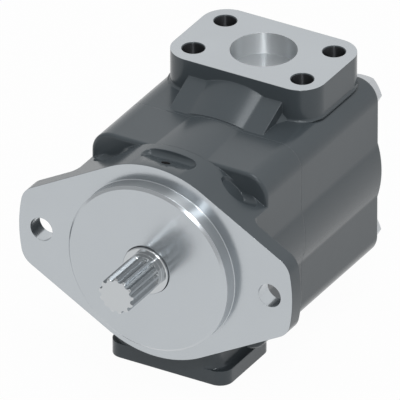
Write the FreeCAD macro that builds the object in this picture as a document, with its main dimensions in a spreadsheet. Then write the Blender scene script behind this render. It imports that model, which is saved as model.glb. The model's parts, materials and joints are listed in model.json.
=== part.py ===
"""Flange-mounted hydraulic vane pump with a splined shaft, as separate pieces.

Frame: millimetres, Z up. The origin is where the shaft's axis crosses the mounting
face. The shaft points along -Y, the inlet port faces up and the outlet port faces down.
"""
import FreeCAD
import Part
import Sketcher
import os

os.makedirs("parts", exist_ok=True)
doc = FreeCAD.newDocument("VanePump")

# Driving dimensions, one cell each, in millimetres or degrees.
DRIVING_SIZES = {
    "pilot_radius": (50.8, "spigot that centres the pump"),
    "pilot_height": (9.5, "spigot height in front of the mounting face"),
    "pilot_chamfer": (1.5, "lead-in on the spigot's edge"),
    "flange_arc_radius": (60.3, "round middle part of the flange"),
    "flange_slope": (29.2, "angle of the ears' slanted edges"),
    "flange_corner_radius": (12, "corners of the ears"),
    "flange_thickness": (10.4, "thickness of the ears"),
    "flange_hole_radius": (7.15, "mounting bolt holes"),
    "flange_bolt_spacing": (146.05, "distance between the mounting bolt holes"),
    "flange_ear_margin": (14.375, "end of an ear beyond its bolt hole's centre"),
    "ear_fillet": (4.5, "fillet between an ear and the body's side"),
    "body_half_width": (56.2, "half the square body's width"),
    "bulge_radius": (58.8, "round swelling that shows between the corners"),
    "bulge_start": (18, "front end of the swelling"),
    "lobe_start": (26.2, "front faces of the square body's corners"),
    "lobe_fillet": (2, "rounding of those front faces"),
    "split_plane": (64.8, "joint between the body and the inlet cover"),
    "rear_face": (152.4, "rear end of the cover"),
    "rear_fillet": (2, "rounding of the rear end"),
    "scoop_x": (41, "corner scoops, sideways from the axis"),
    "scoop_y": (32.5, "corner scoops, back from the mounting face"),
    "scoop_radius": (21, "ball radius of the corner scoops"),
    "scoop_lift": (12.3, "height of the ball's centre over the slanted face"),
    "scoop_fillet": (4, "rounding between a scoop and the wall behind it"),
    "drain_front": (3.5, "front end of the drain's sloped face"),
    "drain_back": (20.5, "back end of the drain's sloped face"),
    "drain_depth": (5.4, "sloped face's back end, below the top of the flange"),
    "drain_slope": (17.7, "slope of that face"),
    "drain_half_width": (17.6, "half the width of the drain's sloped face"),
    "drain_corner": (6, "rear corners of that face"),
    "drain_foot": (3.2, "rounding at the foot of the walls round that face"),
    "drain_hole_y": (11.9, "place of the drain hole"),
    "drain_hole_radius": (2.75, "drain hole"),
    "inlet_centre": (120.65, "inlet port, back from the mounting face"),
    "port_face": (76.2, "height of both port faces from the axis"),
    "inlet_pad_half_width": (48.4, "inlet pad, sideways"),
    "inlet_pad_half_depth": (31.75, "inlet pad, along the axis"),
    "inlet_pad_corner": (15.5, "corners of the inlet pad"),
    "inlet_pad_fillet": (1.5, "rounding at the foot of the inlet pad"),
    "inlet_bore_radius": (19.05, "inlet bore"),
    "inlet_bore_depth": (13.1, "depth of the machined inlet bore"),
    "inlet_passage_radius": (17, "half-round passage below the bore"),
    "inlet_pitch_across": (69.85, "inlet bolt pattern, sideways"),
    "inlet_pitch_along": (35.71, "inlet bolt pattern, along the axis"),
    "inlet_thread_radius": (6.35, "inlet's tapped holes"),
    "inlet_thread_depth": (22, "depth of those holes"),
    "outlet_centre": (38.1, "outlet port, back from the mounting face"),
    "outlet_pad_half_width": (38, "outlet pad, sideways"),
    "outlet_pad_half_depth": (26, "outlet pad, along the axis"),
    "outlet_pad_corner": (8, "corners of the outlet pad"),
    "outlet_pad_thickness": (9, "plate of the outlet pad"),
    "outlet_neck_half_width": (31, "neck over the outlet pad's plate"),
    "outlet_bore_radius": (12.7, "outlet bore"),
    "outlet_bore_entry": (3, "how far the outlet bore runs into the chamber's round wall"),
    "outlet_pitch_across": (52.37, "outlet bolt pattern, sideways"),
    "outlet_pitch_along": (26.19, "outlet bolt pattern, along the axis"),
    "outlet_thread_radius": (4.76, "outlet's tapped holes"),
    "outlet_thread_depth": (19, "depth of those holes"),
    "ramp_start": (67.5, "foot of the ramp in front of the inlet pad"),
    "ramp_end": (91.5, "head of the ramp"),
    "ramp_rise": (11.7, "height of the ramp over the body's top"),
    "ramp_half_width": (30, "half the ramp's width"),
    "ramp_crown_half_width": (18.5, "half the width of the ramp's round middle"),
    "ramp_crown_rise": (3.5, "height of the round middle over the ramp"),
    "cover_bolt_offset": (43, "cover bolts from the axis, both ways"),
    "cover_bolt_radius": (5.95, "cover bolt's shank"),
    "cover_bolt_hole_radius": (6.6, "clearance hole for a cover bolt"),
    "cover_thread_depth": (24, "tapped depth in the body"),
    "cover_bolt_grip": (21.5, "thread length engaged in the body"),
    "cover_bolt_flats": (19, "bolt head across its flats"),
    "cover_bolt_head": (8, "height of the bolt head"),
    "shaft_hole_radius": (14.6, "hole in the pilot face around the shaft"),
    "shaft_hole_length": (6, "length of that hole"),
    "seal_radius": (20, "shaft seal's pocket"),
    "seal_width": (8, "shaft seal's width"),
    "shaft_radius": (12.5, "shaft where it runs in the seal and the bearing"),
    "shaft_ring_width": (1.5, "retaining ring on the shaft"),
    "shaft_ring_depth": (0.7, "groove depth of that ring"),
    "shaft_ring_height": (2.1, "height of that ring over the shaft"),
    "bearing_start": (7, "front face of the ball bearing"),
    "bearing_width": (15, "width of the ball bearing"),
    "bearing_radius": (26, "outer radius of the ball bearing"),
    "bearing_pitch_radius": (19.25, "circle of the balls' centres"),
    "ball_radius": (3.97, "bearing balls"),
    "ball_count": (9, "bearing balls in the ring"),
    "ball_clearance": (0.06, "between a ball and its races"),
    "inner_race_radius": (16.4, "outer land of the inner race"),
    "outer_race_radius": (22.1, "inner land of the outer race"),
    "cage_thickness": (2, "ball cage"),
    "cage_width": (10, "ball cage"),
    "housing_ring_width": (1.75, "retaining ring behind the bearing"),
    "housing_ring_groove": (1.6, "groove depth of that ring"),
    "housing_ring_reach": (1.8, "how far that ring stands into the bore"),
    "chamber_start": (26, "front end of the outlet chamber"),
    "chamber_radius": (41, "outlet chamber and its support plate"),
    "running_clearance": (0.05, "radial clearance of the running fits"),
    "fit_clearance": (0.05, "radial clearance of the plates and pins"),
    "hub_start": (52, "front face of the outlet support plate's hub"),
    "hub_groove_start": (56, "seal groove on that hub"),
    "hub_seal_width": (2.6, "square seal on that hub"),
    "hub_backup_width": (1.4, "backup ring on that hub"),
    "hub_groove_depth": (3, "depth of the seal groove"),
    "cartridge_radius": (45, "outer radius of the cartridge"),
    "cavity_radius": (49.5, "hollow of the cover around the cartridge"),
    "outlet_plate_thickness": (8, "flange of the outlet support plate"),
    "side_plate_thickness": (4, "side plates beside the rotor"),
    "cam_width": (40, "width of the cam ring"),
    "cam_major_radius": (36.2, "long half axis of the cam's oval"),
    "cam_minor_radius": (33.4, "short half axis of the cam's oval"),
    "inlet_plate_thickness": (14, "inlet support plate"),
    "rotor_radius": (33, "rotor"),
    "rotor_side_clearance": (0.05, "between the rotor and each side plate"),
    "vane_thickness": (2.4, "vanes"),
    "vane_clearance": (0.02, "between a vane and its slot, each side"),
    "vane_foot_radius": (21.3, "inner end of a vane at rest"),
    "vane_end_clearance": (0.05, "between a vane and each side plate"),
    "vane_tip_rounding": (2, "round tip of a vane"),
    "slot_foot_radius": (21, "bottom of the rotor's slots"),
    "vane_first_angle": (9, "angle of the first vane from +X"),
    "insert_height": (5.2, "pressure insert under a vane"),
    "insert_width": (14, "pressure insert, along the axis"),
    "insert_clearance": (0.3, "between an insert and its notch"),
    "plate_bore_radius": (13, "bore of the plates around the shaft"),
    "port_inner_radius": (25, "kidney ports, inner edge"),
    "port_outer_radius": (31.5, "kidney ports, outer edge"),
    "port_half_angle": (20, "half the sweep of a kidney port"),
    "outlet_port_angle": (45, "direction of the first outlet port"),
    "inlet_port_angle": (135, "direction of the first inlet port"),
    "dowel_offset": (40, "locating pins from the axis"),
    "dowel_radius": (2.5, "locating pins"),
    "dowel_seat": (6, "pin's length in each support plate"),
    "screw_offset": (41, "cartridge screws from the axis"),
    "screw_radius": (2.1, "cartridge screws"),
    "screw_head_radius": (3.6, "head of a cartridge screw"),
    "screw_head_height": (4, "head of a cartridge screw"),
    "screw_socket_flats": (3.5, "hexagon socket in that head"),
    "spline_reach": (43.4, "end of the shaft in front of the mounting face"),
    "spline_tip_radius": (10.9, "outer radius of the drive spline"),
    "spline_root_radius": (9.2, "root of the drive spline"),
    "spline_tip_width": (1.3, "width of a spline tooth at its tip"),
    "spline_root_width": (3.1, "width of a spline tooth at its root"),
    "spline_teeth": (13, "teeth of the drive spline"),
    "spline_lead_in": (0.8, "chamfer on the front ends of the teeth"),
    "collar_reach": (11.5, "front face of the shaft's collar"),
    "collar_radius": (14.3, "shaft's collar in the hole of the pilot face"),
    "collar_length": (7, "length of that collar"),
    "land_width": (3, "plain length between the spline and the collar"),
    "shoulder_radius": (15, "shaft's shoulder behind the bearing"),
    "shoulder_width": (5, "width of that shoulder"),
    "shaft_mid_radius": (12, "shaft between the bearing and the rotor"),
    "rotor_spline_tip": (11.6, "outer radius of the rotor's spline"),
    "rotor_spline_root": (10.3, "root of the rotor's spline"),
    "rotor_spline_clearance": (0.05, "between the two halves of that spline"),
    "rotor_spline_teeth": (12, "teeth of the rotor's spline"),
    "rotor_spline_width": (2.6, "width of one of those teeth"),
    "journal_radius": (9.5, "rear journal of the shaft"),
    "journal_gap": (1, "shaft's end in front of the cover's wall"),
    "bushing_radius": (13, "outer radius of the rear bushing"),
    "bushing_inset": (0.8, "bushing's ends inside the support plate"),
    "seal_case_wall": (1, "metal case of the shaft seal"),
    "garter_radius": (0.7, "garter spring's wire coil"),
    "gasket_land": (1.3, "between the cover's hollow and the sealing ring's groove"),
    "gasket_section": (1, "half the thickness of the sealing ring"),
    "gasket_groove_play": (0.1, "groove's width beyond the ring, each side"),
    "edge_break": (0.5, "small chamfers"),
}

sheet = doc.addObject("Spreadsheet::Sheet", "Sizes")
for row_number, (alias, (amount, meaning)) in enumerate(DRIVING_SIZES.items(), start=1):
    sheet.set(f"A{row_number}", meaning)
    sheet.set(f"B{row_number}", str(amount))
    sheet.setAlias(f"B{row_number}", alias)
doc.recompute()


def cell(alias):
    """Expression that reads one driving dimension."""
    return f"Sizes.{alias}"


def value(expression):
    """Number that an expression gives now."""
    return float(sheet.evalExpression(str(expression)))


def total(*terms):
    """Expression for a sum of expressions."""
    return "(" + " + ".join(f"({term})" for term in terms) + ")"


def minus(term):
    """Expression for the negative of an expression."""
    return f"(-1 * ({term}))"


def less(first, *others):
    """Expression for a difference of expressions."""
    return total(first, *[minus(other) for other in others])


# Stations along the shaft's axis, from front to back.
SEAL_START = less(cell("shaft_hole_length"), cell("pilot_height"))
SEAL_END = total(SEAL_START, cell("seal_width"))
BEARING_START = cell("bearing_start")
BEARING_MIDDLE = total(BEARING_START, f"{cell('bearing_width')} / 2")
BEARING_END = total(BEARING_START, cell("bearing_width"))
HOUSING_RING_END = total(BEARING_END, cell("housing_ring_width"))
SPLIT = cell("split_plane")
OUTLET_PLATE_END = total(SPLIT, cell("outlet_plate_thickness"))
CAM_START = total(OUTLET_PLATE_END, cell("side_plate_thickness"))
CAM_END = total(CAM_START, cell("cam_width"))
INLET_PLATE_START = total(CAM_END, cell("side_plate_thickness"))
INLET_PLATE_END = total(INLET_PLATE_START, cell("inlet_plate_thickness"))
REAR = cell("rear_face")
VANE_START = total(CAM_START, cell("vane_end_clearance"))
VANE_LENGTH = less(cell("cam_width"), f"2 * {cell('vane_end_clearance')}")
CAM_MIDDLE = total(CAM_START, f"{cell('cam_width')} / 2")
BLOCK_SLOPE = cell("flange_slope")
SLANT_TANGENT_X = f"({cell('flange_arc_radius')} * sin({BLOCK_SLOPE}))"
SLANT_TANGENT_Z = f"({cell('flange_arc_radius')} * cos({BLOCK_SLOPE}))"
BODY_HALF = cell("body_half_width")
BODY_CORNER = less(BODY_HALF, cell("cover_bolt_offset"))
FLANGE_END = total(f"{cell('flange_bolt_spacing')} / 2", cell("flange_ear_margin"))
GASKET_HALF = total(cell("gasket_section"), cell("gasket_groove_play"))
GASKET_RADIUS = total(cell("cavity_radius"), cell("gasket_land"), GASKET_HALF)
SLANT_SIDE_Z = (
    f"(({cell('flange_arc_radius')} - {BODY_HALF} * sin({BLOCK_SLOPE})) / cos({BLOCK_SLOPE}))"
)
OUTLET_BORE_DEPTH = total(less(cell("port_face"), cell("chamber_radius")),
                          cell("outlet_bore_entry"))
VANE_COUNT = 10
FLARE_STEPS = 4

parts = []


def new_body(label, own_part=True):
    """Solid built from sketches and features: a sub-part, or a piece of one casting."""
    body = doc.addObject("PartDesign::Body", label)
    body.Label = label
    if own_part:
        parts.append(body)
    return body


def flare(body, level, rise, size, half, low, high, corner, front_too):
    """Concave rounding at the foot of a rounded box, as a stack of short steps.
    rise is 1 when the box stands up from the level and -1 when it hangs from it."""
    sections = []
    for step in range(FLARE_STEPS + 1):
        angle = 90 * step / FLARE_STEPS
        spread = f"({size} * (1 - sin({angle})))"
        height = total(level, f"{rise} * {size} * (1 - cos({angle}))")
        sketch = new_sketch(body, "XY_Plane", height)
        wide = total(half, spread)
        rounded_box(sketch, minus(wide), wide, less(low, spread) if front_too else low, high,
                    total(corner, spread))
        sections.append(sketch)
    loft = body.newObject("PartDesign::AdditiveLoft", f"{body.Name}_flare")
    loft.Profile = sections[0]
    loft.Sections = sections[1:]
    loft.Ruled = True
    doc.recompute()


def join(body, other, kind="Fuse"):
    """Casts another solid onto a body, or cuts it out of the body."""
    feature = body.newObject("PartDesign::Boolean", f"{body.Name}_joined")
    feature.addObjects([other])
    feature.Type = kind
    doc.recompute()
    return feature


def origin_plane(body, role):
    return next(item for item in body.Origin.OriginFeatures if item.Role == role)


def new_sketch(body, role, offset=None):
    """Sketch on one of the body's own planes, or parallel to it at an offset."""
    sketch = body.newObject("Sketcher::SketchObject", f"{body.Name}_outline")
    sketch.AttachmentSupport = (origin_plane(body, role), [""])
    sketch.MapMode = "FlatFace"
    if offset is not None:
        sketch.setExpression("AttachmentOffset.Base.z", str(offset))
    doc.recompute()
    return sketch


def across(body, station):
    """Sketch square to the shaft, at a station along it: X sideways, Z up."""
    return new_sketch(body, "XZ_Plane", minus(station))


def along(body, offset=None):
    """Sketch on the shaft's upright plane: Y along the shaft, Z up."""
    return new_sketch(body, "YZ_Plane", offset)


def bind(sketch, constraint, expression):
    """Adds a dimension whose amount comes from an expression."""
    index = sketch.addConstraint(constraint)
    sketch.setExpression(f"Constraints[{index}]", str(expression))


def pin_point(sketch, line, end, horizontal, vertical):
    """Ties an end of a line or arc to a place given by two expressions."""
    bind(sketch, Sketcher.Constraint("DistanceX", -1, 1, line, end, value(horizontal)), horizontal)
    bind(sketch, Sketcher.Constraint("DistanceY", -1, 1, line, end, value(vertical)), vertical)


def outline(sketch, corners, arcs=None):
    """Closed outline through corners given as pairs of expressions. arcs maps a corner's
    number to the radius, centre and turn (anticlockwise or not) of the arc that follows it."""
    arcs = arcs or {}
    places = [FreeCAD.Vector(value(h), value(v), 0) for h, v in corners]
    first = sketch.GeometryCount
    count = len(corners)
    for number, start in enumerate(places):
        end = places[(number + 1) % count]
        if number in arcs:
            radius, centre, anticlockwise = arcs[number]
            middle = arc_middle(start, end, centre, anticlockwise)
            sketch.addGeometry(Part.Arc(start, middle, end))
        else:
            sketch.addGeometry(Part.LineSegment(start, end))
    for number in range(count):
        line = first + number
        anticlockwise = arcs[number][2] if number in arcs else True
        next_line = first + (number + 1) % count
        next_number = (number + 1) % count
        next_turn = arcs[next_number][2] if next_number in arcs else True
        line_end = 2 if anticlockwise else 1
        next_start = 1 if next_turn else 2
        sketch.addConstraint(
            Sketcher.Constraint("Coincident", line, line_end, next_line, next_start)
        )
    for number, (horizontal, vertical) in enumerate(corners):
        anticlockwise = arcs[number][2] if number in arcs else True
        pin_point(sketch, first + number, 1 if anticlockwise else 2, horizontal, vertical)
    for number, (radius, _, _) in arcs.items():
        bind(sketch, Sketcher.Constraint("Radius", first + number, value(radius)), radius)


def arc_middle(start, end, centre, anticlockwise):
    """Point half way along the arc from start to end about a centre."""
    hub = FreeCAD.Vector(value(centre[0]), value(centre[1]), 0)
    radius = (start - hub).Length
    chord = end - start
    side = FreeCAD.Vector(chord.y, -chord.x, 0)
    side.normalize()
    return hub + side * (radius if anticlockwise else -radius)


def circle(sketch, radius, horizontal="0", vertical="0"):
    """Full circle about a place given by two expressions."""
    centre = FreeCAD.Vector(value(horizontal), value(vertical), 0)
    normal = FreeCAD.Vector(0, 0, 1)
    index = sketch.addGeometry(Part.Circle(centre, normal, value(radius)))
    pin_point(sketch, index, 3, horizontal, vertical)
    bind(sketch, Sketcher.Constraint("Radius", index, value(radius)), radius)


def box_corners(left, right, low, high):
    return [(left, low), (right, low), (right, high), (left, high)]


def rounded_box(sketch, left, right, low, high, corner):
    """Rectangle with four round corners."""
    inner_left = total(left, corner)
    inner_right = less(right, corner)
    inner_low = total(low, corner)
    inner_high = less(high, corner)
    corners = [
        (inner_left, low), (inner_right, low),
        (right, inner_low), (right, inner_high),
        (inner_right, high), (inner_left, high),
        (left, inner_high), (left, inner_low),
    ]
    arcs = {
        1: (corner, (inner_right, inner_low), True),
        3: (corner, (inner_right, inner_high), True),
        5: (corner, (inner_left, inner_high), True),
        7: (corner, (inner_left, inner_low), True),
    }
    outline(sketch, corners, arcs)


def sector(sketch, inner, outer, direction, half_angle):
    """Kidney shape between two radii, swept to both sides of a direction."""
    first = less(direction, half_angle)
    last = total(direction, half_angle)
    corners = [
        (f"{outer} * cos({first})", f"{outer} * sin({first})"),
        (f"{outer} * cos({last})", f"{outer} * sin({last})"),
        (f"{inner} * cos({last})", f"{inner} * sin({last})"),
        (f"{inner} * cos({first})", f"{inner} * sin({first})"),
    ]
    outline(sketch, corners, {0: (outer, ("0", "0"), True), 2: (inner, ("0", "0"), False)})


def extrude(body, sketch, length, kind="Pad", forward=True):
    """Pad or Pocket of a sketch. Forward is +Y for a sketch across the shaft."""
    feature = body.newObject(f"PartDesign::{kind}", f"{body.Name}_{kind}")
    feature.Profile = sketch
    feature.setExpression("Length", str(length))
    feature.Reversed = forward if kind == "Pad" else not forward
    doc.recompute()
    return feature


def pad(body, sketch, length, forward=True):
    return extrude(body, sketch, length, "Pad", forward)


def pocket(body, sketch, length, forward=True):
    """Cut that must take something away."""
    before = body.Shape.Volume
    feature = extrude(body, sketch, length, "Pocket", forward)
    if feature.Shape.Volume >= before - 1e-6:
        raise RuntimeError(f"{feature.Name} cuts nothing")
    return feature


def both_ways(body, sketch, length):
    """Pad that reaches equally far to both sides of its sketch."""
    feature = body.newObject("PartDesign::Pad", f"{body.Name}_both_ways")
    feature.Profile = sketch
    feature.setExpression("Length", str(length))
    feature.Midplane = True
    doc.recompute()
    return feature


def turn(body, corners, arcs=None, cut=False, sweep=360):
    """Solid or cut turned about the shaft's axis from a (station, radius) outline."""
    sketch = along(body)
    outline(sketch, corners, arcs)
    kind = "Groove" if cut else "Revolution"
    before = body.Shape.Volume if cut else 0
    feature = body.newObject(f"PartDesign::{kind}", f"{body.Name}_{kind}")
    feature.Profile = sketch
    feature.ReferenceAxis = (sketch, ["H_Axis"])
    feature.Angle = sweep
    doc.recompute()
    if cut and feature.Shape.Volume >= before - 1e-6:
        raise RuntimeError(f"{feature.Name} cuts nothing")
    return feature


def ring(body, start, end, inner, outer, cut=False, sweep=360):
    """Plain ring about the shaft's axis."""
    return turn(body, box_corners(start, end, inner, outer), cut=cut, sweep=sweep)


def around(body, feature, sketch, count):
    """Repeats a feature evenly about the shaft's axis."""
    pattern = body.newObject("PartDesign::PolarPattern", f"{body.Name}_pattern")
    pattern.Originals = [feature]
    pattern.Axis = (sketch, ["N_Axis"])
    pattern.Angle = 360
    pattern.setExpression("Occurrences", str(count))
    body.Tip = pattern
    doc.recompute()
    return pattern


def edges_where(shape, test):
    """Names of the edges that a test picks."""
    return [f"Edge{i}" for i, edge in enumerate(shape.Edges, start=1) if test(edge)]


def dress(body, kind, base, names, amount):
    """Fillet or Chamfer on named edges of a feature."""
    feature = body.newObject(f"PartDesign::{kind}", f"{body.Name}_{kind}")
    feature.Base = (base, names)
    feature.setExpression("Radius" if kind == "Fillet" else "Size", str(amount))
    doc.recompute()
    return feature


def is_line_along(edge, direction):
    if edge.Curve.TypeId != "Part::GeomLine":
        return False
    return abs(edge.tangentAt(edge.FirstParameter).dot(direction)) > 0.999


X_AXIS = FreeCAD.Vector(1, 0, 0)
Y_AXIS = FreeCAD.Vector(0, 1, 0)
Z_AXIS = FreeCAD.Vector(0, 0, 1)
SIDES = (-1, 1)


def flange_outline(sketch):
    """Two-bolt flange: round middle, slanted edges and round ends."""
    reach = f"sqrt({FLANGE_END} ^ 2 - {cell('flange_arc_radius')} ^ 2)"
    end_x = f"({SLANT_TANGENT_X} + {reach} * cos({BLOCK_SLOPE}))"
    end_z = f"({SLANT_TANGENT_Z} - {reach} * sin({BLOCK_SLOPE}))"
    middle = ("0", "0")
    corners = [
        (end_x, minus(end_z)), (end_x, end_z),
        (SLANT_TANGENT_X, SLANT_TANGENT_Z), (minus(SLANT_TANGENT_X), SLANT_TANGENT_Z),
        (minus(end_x), end_z), (minus(end_x), minus(end_z)),
        (minus(SLANT_TANGENT_X), minus(SLANT_TANGENT_Z)),
        (SLANT_TANGENT_X, minus(SLANT_TANGENT_Z)),
    ]
    arcs = {
        0: (FLANGE_END, middle, True),
        2: (cell("flange_arc_radius"), middle, True),
        4: (FLANGE_END, middle, True),
        6: (cell("flange_arc_radius"), middle, True),
    }
    outline(sketch, corners, arcs)


def block_outline(sketch):
    """Front block: the flange's outline cut off at the body's sides."""
    corners = [
        (BODY_HALF, minus(SLANT_SIDE_Z)), (BODY_HALF, SLANT_SIDE_Z),
        (SLANT_TANGENT_X, SLANT_TANGENT_Z), (minus(SLANT_TANGENT_X), SLANT_TANGENT_Z),
        (minus(BODY_HALF), SLANT_SIDE_Z), (minus(BODY_HALF), minus(SLANT_SIDE_Z)),
        (minus(SLANT_TANGENT_X), minus(SLANT_TANGENT_Z)),
        (SLANT_TANGENT_X, minus(SLANT_TANGENT_Z)),
    ]
    middle = ("0", "0")
    outline(sketch, corners, {
        2: (cell("flange_arc_radius"), middle, True),
        6: (cell("flange_arc_radius"), middle, True),
    })


def square_section(body, station, length):
    """Length of the square body with its round swelling."""
    sketch = across(body, station)
    rounded_box(sketch, minus(BODY_HALF), BODY_HALF, minus(BODY_HALF), BODY_HALF, BODY_CORNER)
    return pad(body, sketch, length)


def hole_grid(body, sketch, half_x, middle, half_y, radius, length, forward):
    """Four holes at the corners of a rectangle."""
    for side in SIDES:
        for end in SIDES:
            circle(sketch, radius, f"{side} * {half_x}", total(middle, f"{end} * {half_y}"))
    return pocket(body, sketch, length, forward)


def break_holes(body, holes, level, radius):
    """Small chamfers round the mouths of tapped holes in a port face."""
    height = value(level)
    size = value(radius)
    names = edges_where(holes.Shape, lambda e: e.Curve.TypeId == "Part::GeomCircle"
                        and abs(e.Curve.Radius - size) < 0.01
                        and abs(e.CenterOfMass.z - height) < 0.01)
    dress(body, "Chamfer", holes, names, cell("edge_break"))


def make_pump_body():
    """Cast front body: flange, pilot, bearing housing and outlet port."""
    body = new_body("pump_body")
    sketch = across(body, "0")
    flange_outline(sketch)
    flange = pad(body, sketch, cell("flange_thickness"))
    ends = value(BODY_HALF)
    names = edges_where(flange.Shape, lambda e: is_line_along(e, Y_AXIS)
                        and abs(e.CenterOfMass.x) > ends)
    dress(body, "Fillet", flange, names, cell("flange_corner_radius"))

    sketch = across(body, "0")
    block_outline(sketch)
    block = pad(body, sketch, cell("lobe_start"))
    thickness = value(cell("flange_thickness"))
    names = edges_where(block.Shape, lambda e: is_line_along(e, Z_AXIS)
                        and abs(e.CenterOfMass.y - thickness) < 0.01
                        and abs(abs(e.CenterOfMass.x) - ends) < 0.01)
    dress(body, "Fillet", block, names, cell("ear_fillet"))
    add_scoops(body)

    join(body, make_lobes())
    sketch = across(body, cell("lobe_start"))
    outline(sketch, box_corners(minus(BODY_HALF), BODY_HALF, minus(SLANT_SIDE_Z), SLANT_SIDE_Z))
    pad(body, sketch, f"2 * {cell('lobe_fillet')}")
    sketch = across(body, cell("bulge_start"))
    circle(sketch, cell("bulge_radius"))
    pad(body, sketch, less(SPLIT, cell("bulge_start")))

    add_outlet_pad(body)
    sketch = across(body, "0")
    circle(sketch, cell("pilot_radius"))
    pilot = pad(body, sketch, cell("pilot_height"), forward=False)
    front = -value(cell("pilot_height"))
    names = edges_where(pilot.Shape, lambda e: e.Curve.TypeId == "Part::GeomCircle"
                        and abs(e.CenterOfMass.y - front) < 0.01)
    dress(body, "Chamfer", pilot, names, cell("pilot_chamfer"))
    cut_body_bores(body)
    cut_outlet_port(body)
    cut_drain(body)
    return body


def make_lobes():
    """Square part of the front casting, with rounded front edges."""
    lobes = new_body("body_lobes", own_part=False)
    block = square_section(lobes, cell("lobe_start"), less(SPLIT, cell("lobe_start")))
    front = value(cell("lobe_start"))
    names = edges_where(block.Shape, lambda e: abs(e.BoundBox.YMax - front) < 0.01)
    dress(lobes, "Fillet", block, names, cell("lobe_fillet"))
    return lobes


def add_scoops(body):
    """Round hollows in the slanted faces, in front of the body's corners."""
    normal_x = f"sin({BLOCK_SLOPE})"
    normal_z = f"cos({BLOCK_SLOPE})"
    face_z = (f"(({cell('flange_arc_radius')} - {cell('scoop_x')} * {normal_x})"
              f" / {normal_z})")
    centre_x = total(cell("scoop_x"), f"{cell('scoop_lift')} * {normal_x}")
    centre_z = total(face_z, f"{cell('scoop_lift')} * {normal_z}")
    radius = cell("scoop_radius")
    fillet = cell("scoop_fillet")
    wall = cell("lobe_start")
    middle = cell("scoop_y")
    reach = less(radius, fillet)
    back = total(less(middle, wall), fillet)
    out = f"sqrt({reach} ^ 2 - {back} ^ 2)"
    corners = [
        (less(middle, radius), "0"), (wall, "0"), (wall, out),
        (less(middle, f"({radius} * {back} / {reach})"), f"({radius} * {out} / {reach})"),
    ]
    arcs = {2: (fillet, (less(wall, fillet), out), True), 3: (radius, (middle, "0"), True)}
    for side in SIDES:
        for height in SIDES:
            sketch = along(body, f"{side} * {centre_x}")
            sketch.setExpression("AttachmentOffset.Base.y", f"{height} * {centre_z}")
            outline(sketch, corners, arcs)
            scoop = body.newObject("PartDesign::Groove", f"{body.Name}_scoop")
            scoop.Profile = sketch
            scoop.ReferenceAxis = (sketch, ["H_Axis"])
            scoop.Angle = 360
            doc.recompute()


def add_outlet_pad(body):
    """Outlet pad: a plate below a narrower neck whose front is flush with it."""
    face = minus(cell("port_face"))
    half = cell("outlet_pad_half_width")
    low = less(cell("outlet_centre"), cell("outlet_pad_half_depth"))
    high = total(cell("outlet_centre"), cell("outlet_pad_half_depth"))
    sketch = new_sketch(body, "XY_Plane", face)
    rounded_box(sketch, minus(half), half, low, high, cell("outlet_pad_corner"))
    extrude(body, sketch, cell("outlet_pad_thickness"), "Pad", False)
    neck = cell("outlet_neck_half_width")
    sketch = new_sketch(body, "XY_Plane", total(face, cell("outlet_pad_thickness")))
    rounded_box(sketch, minus(neck), neck, low, high, cell("outlet_pad_corner"))
    length = less(cell("port_face"), cell("outlet_pad_thickness"), cell("chamber_radius"))
    extrude(body, sketch, length, "Pad", False)
    flare(body, total(face, cell("outlet_pad_thickness")), 1, less(half, neck), neck,
          low, high, cell("outlet_pad_corner"), False)


def cut_body_bores(body):
    """Shaft hole, seal pocket, bearing pocket, ring groove and outlet chamber."""
    front = minus(cell("pilot_height"))
    bearing = cell("bearing_radius")
    groove = total(bearing, cell("housing_ring_groove"))
    turn(body, [
        (front, "0"), (front, cell("shaft_hole_radius")),
        (SEAL_START, cell("shaft_hole_radius")), (SEAL_START, cell("seal_radius")),
        (BEARING_START, cell("seal_radius")), (BEARING_START, bearing),
        (BEARING_END, bearing), (BEARING_END, groove),
        (HOUSING_RING_END, groove), (HOUSING_RING_END, bearing),
        (cell("chamber_start"), bearing), (cell("chamber_start"), cell("chamber_radius")),
        (SPLIT, cell("chamber_radius")), (SPLIT, "0"),
    ], cut=True)
    sketch = across(body, "0")
    for side in SIDES:
        circle(sketch, cell("flange_hole_radius"), f"{side} * {cell('flange_bolt_spacing')} / 2")
    pocket(body, sketch, cell("flange_thickness"))
    offset = cell("cover_bolt_offset")
    sketch = across(body, SPLIT)
    hole_grid(body, sketch, offset, "0", offset, total(cell("cover_bolt_radius"),
              cell("fit_clearance")), cell("cover_thread_depth"), False)


def cut_outlet_port(body):
    """Outlet bore and the tapped holes of its pad."""
    face = minus(cell("port_face"))
    sketch = new_sketch(body, "XY_Plane", face)
    circle(sketch, cell("outlet_bore_radius"), "0", cell("outlet_centre"))
    pocket(body, sketch, OUTLET_BORE_DEPTH, False)
    sketch = new_sketch(body, "XY_Plane", face)
    holes = hole_grid(body, sketch, f"{cell('outlet_pitch_across')} / 2",
                      cell("outlet_centre"), f"{cell('outlet_pitch_along')} / 2",
                      cell("outlet_thread_radius"), cell("outlet_thread_depth"), False)
    break_holes(body, holes, face, cell("outlet_thread_radius"))


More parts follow.
